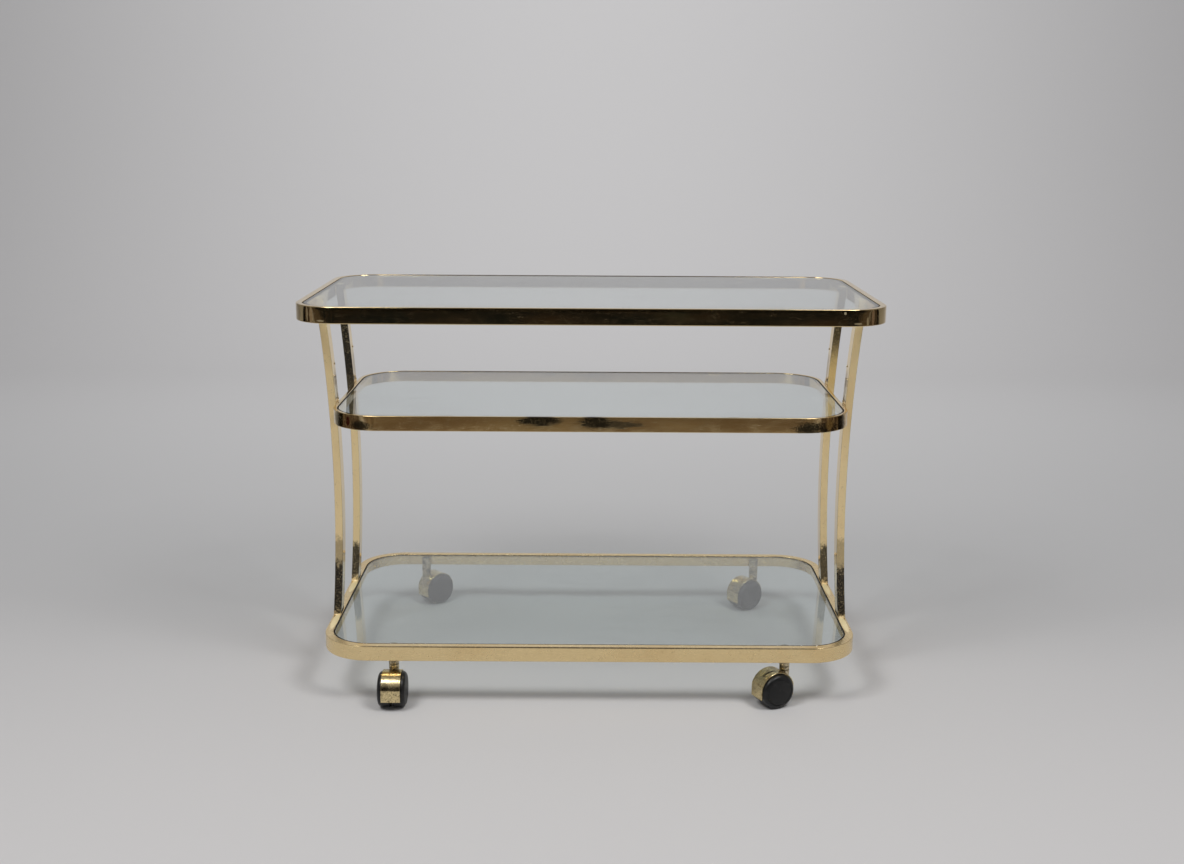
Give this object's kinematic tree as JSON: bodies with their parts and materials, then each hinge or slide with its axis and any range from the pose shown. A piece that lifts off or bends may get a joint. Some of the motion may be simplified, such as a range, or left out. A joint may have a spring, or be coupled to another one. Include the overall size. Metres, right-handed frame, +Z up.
{
  "type": "bar cart",
  "caption": "Bar cart with framed glass shelves, curved flat-bar legs in polished brass and swivelling hooded twin-wheel casters.",
  "frame": {"origin": "on the floor, under the centre of the shelf frames", "axes": "+Z up, +X along the cart's length, -Y towards the viewer of the picture"},
  "size_m": [0.81, 0.4849, 0.562],
  "materials": {
    "polished_brass": "polished, with a light patina",
    "satin_brass": "satin",
    "shelf_glass": "clear, faintly tinted",
    "black_edging": "matte",
    "black_plastic": "satin",
    "zinc_steel": "zinc plated"
  },
  "bodies": {
    "cart": {"top_frame": "polished_brass", "middle_frame": "polished_brass", "bottom_frame": "satin_brass", "top_glass": "shelf_glass", "middle_glass": "shelf_glass", "bottom_glass": "shelf_glass", "top_edging": "black_edging", "middle_edging": "black_edging", "bottom_edging": "black_edging", "middle_glass_tabs": "polished_brass", "front_left_leg": "satin_brass", "front_right_leg": "satin_brass", "rear_left_leg": "satin_brass", "rear_right_leg": "satin_brass", "front_left_socket": "polished_brass", "front_right_socket": "polished_brass", "rear_left_socket": "polished_brass", "rear_right_socket": "polished_brass"},
    "front_left_caster": {"front_left_stem": "zinc_steel", "front_left_grip_ring": "zinc_steel", "front_left_hood": "polished_brass", "front_left_axle": "zinc_steel"},
    "front_left_left_wheel": {"front_left_left_wheel": "black_plastic", "front_left_left_cap": "black_plastic"},
    "front_left_right_wheel": {"front_left_right_wheel": "black_plastic", "front_left_right_cap": "black_plastic"},
    "front_right_caster": {"front_right_stem": "zinc_steel", "front_right_grip_ring": "zinc_steel", "front_right_hood": "polished_brass", "front_right_axle": "zinc_steel"},
    "front_right_left_wheel": {"front_right_left_wheel": "black_plastic", "front_right_left_cap": "black_plastic"},
    "front_right_right_wheel": {"front_right_right_wheel": "black_plastic", "front_right_right_cap": "black_plastic"},
    "rear_left_caster": {"rear_left_stem": "zinc_steel", "rear_left_grip_ring": "zinc_steel", "rear_left_hood": "polished_brass", "rear_left_axle": "zinc_steel"},
    "rear_left_left_wheel": {"rear_left_left_wheel": "black_plastic", "rear_left_left_cap": "black_plastic"},
    "rear_left_right_wheel": {"rear_left_right_wheel": "black_plastic", "rear_left_right_cap": "black_plastic"},
    "rear_right_caster": {"rear_right_stem": "zinc_steel", "rear_right_grip_ring": "zinc_steel", "rear_right_hood": "polished_brass", "rear_right_axle": "zinc_steel"},
    "rear_right_left_wheel": {"rear_right_left_wheel": "black_plastic", "rear_right_left_cap": "black_plastic"},
    "rear_right_right_wheel": {"rear_right_right_wheel": "black_plastic", "rear_right_right_cap": "black_plastic"}
  },
  "joints": [
    {"name": "front_left_swivel", "type": "hinge", "parent": "cart", "child": "front_left_caster", "pos_m": [-0.276, -0.19925, 0.0565], "axis": [0, 0, 1], "continuous": true},
    {"name": "front_left_left_wheel_spin", "type": "hinge", "parent": "front_left_caster", "child": "front_left_left_wheel", "pos_m": [-0.276, -0.21775, 0.025], "axis": [1, 0, 0], "continuous": true},
    {"name": "front_left_right_wheel_spin", "type": "hinge", "parent": "front_left_caster", "child": "front_left_right_wheel", "pos_m": [-0.276, -0.21775, 0.025], "axis": [1, 0, 0], "continuous": true},
    {"name": "front_right_swivel", "type": "hinge", "parent": "cart", "child": "front_right_caster", "pos_m": [0.276, -0.19925, 0.0565], "axis": [0, 0, 1], "continuous": true},
    {"name": "front_right_left_wheel_spin", "type": "hinge", "parent": "front_right_caster", "child": "front_right_left_wheel", "pos_m": [0.25937, -0.20736, 0.025], "axis": [0.4384, -0.8988, 0], "continuous": true},
    {"name": "front_right_right_wheel_spin", "type": "hinge", "parent": "front_right_caster", "child": "front_right_right_wheel", "pos_m": [0.25937, -0.20736, 0.025], "axis": [0.4384, -0.8988, 0], "continuous": true},
    {"name": "rear_left_swivel", "type": "hinge", "parent": "cart", "child": "rear_left_caster", "pos_m": [-0.276, 0.19925, 0.0565], "axis": [0, 0, 1], "continuous": true},
    {"name": "rear_left_left_wheel_spin", "type": "hinge", "parent": "rear_left_caster", "child": "rear_left_left_wheel", "pos_m": [-0.26247, 0.21187, 0.025], "axis": [-0.682, 0.7314, 0], "continuous": true},
    {"name": "rear_left_right_wheel_spin", "type": "hinge", "parent": "rear_left_caster", "child": "rear_left_right_wheel", "pos_m": [-0.26247, 0.21187, 0.025], "axis": [-0.682, 0.7314, 0], "continuous": true},
    {"name": "rear_right_swivel", "type": "hinge", "parent": "cart", "child": "rear_right_caster", "pos_m": [0.276, 0.19925, 0.0565], "axis": [0, 0, 1], "continuous": true},
    {"name": "rear_right_left_wheel_spin", "type": "hinge", "parent": "rear_right_caster", "child": "rear_right_left_wheel", "pos_m": [0.26085, 0.18864, 0.025], "axis": [0.5736, -0.8192, 0], "continuous": true},
    {"name": "rear_right_right_wheel_spin", "type": "hinge", "parent": "rear_right_caster", "child": "rear_right_right_wheel", "pos_m": [0.26085, 0.18864, 0.025], "axis": [0.5736, -0.8192, 0], "continuous": true}
  ]
}
